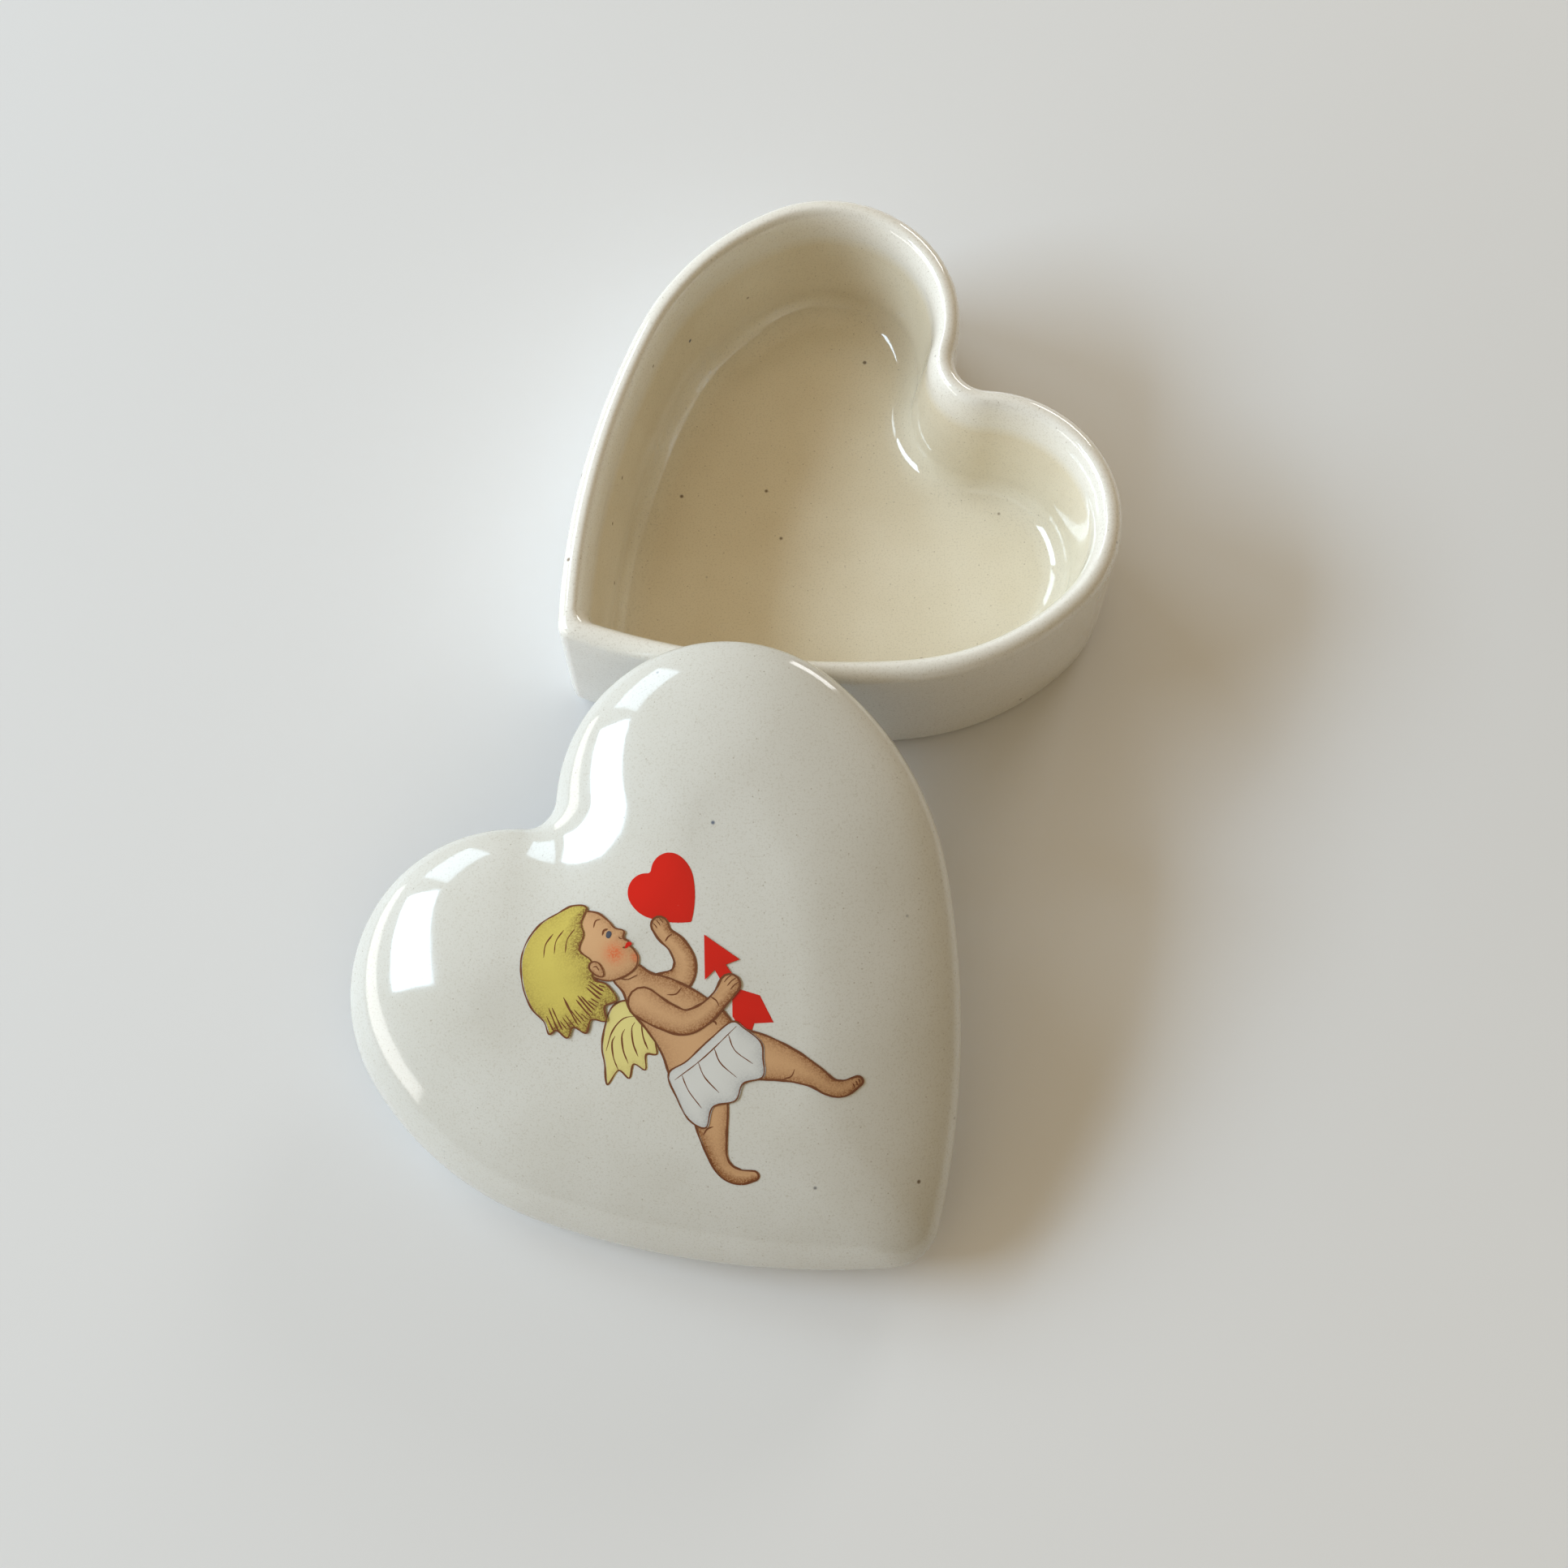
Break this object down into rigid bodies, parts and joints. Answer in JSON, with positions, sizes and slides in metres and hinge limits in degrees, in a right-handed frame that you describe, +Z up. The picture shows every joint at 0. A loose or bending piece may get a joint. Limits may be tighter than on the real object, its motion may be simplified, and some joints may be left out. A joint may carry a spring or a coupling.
{
  "type": "heart-shaped pill box",
  "caption": "Heart-shaped glazed ceramic trinket dish with a loose domed lid leaning on its rim; the lid carries a small print of a cherub, a heart and an arrow.",
  "frame": {"origin": "on the table, under the middle of the bounding box of the dish with the lid leaning on it", "axes": "+Z up, +Y from the leaning lid towards the dish, which is the longest way across the arrangement, +X to the right seen from the lid's side"},
  "size_m": [0.078, 0.1088, 0.0248],
  "materials": {
    "glaze_dish": "gloss",
    "glaze_lid": "gloss",
    "ink_skin": "gloss",
    "ink_hair": "gloss",
    "ink_wing": "gloss",
    "ink_cloth": "gloss",
    "ink_red": "gloss"
  },
  "bodies": {
    "dish": {"dish": "glaze_dish"},
    "lid": {"lid": "glaze_lid", "print_skin": "ink_skin", "print_hair": "ink_hair", "print_wing": "ink_wing", "print_cloth": "ink_cloth", "print_heart": "ink_red", "print_arrow_head": "ink_red", "print_arrow_tail": "ink_red"}
  },
  "joints": [
    {"name": "lid_lift", "type": "slide", "parent": "dish", "child": "lid", "axis": [0, 0, 1], "range_m": [0, 0.03]}
  ]
}
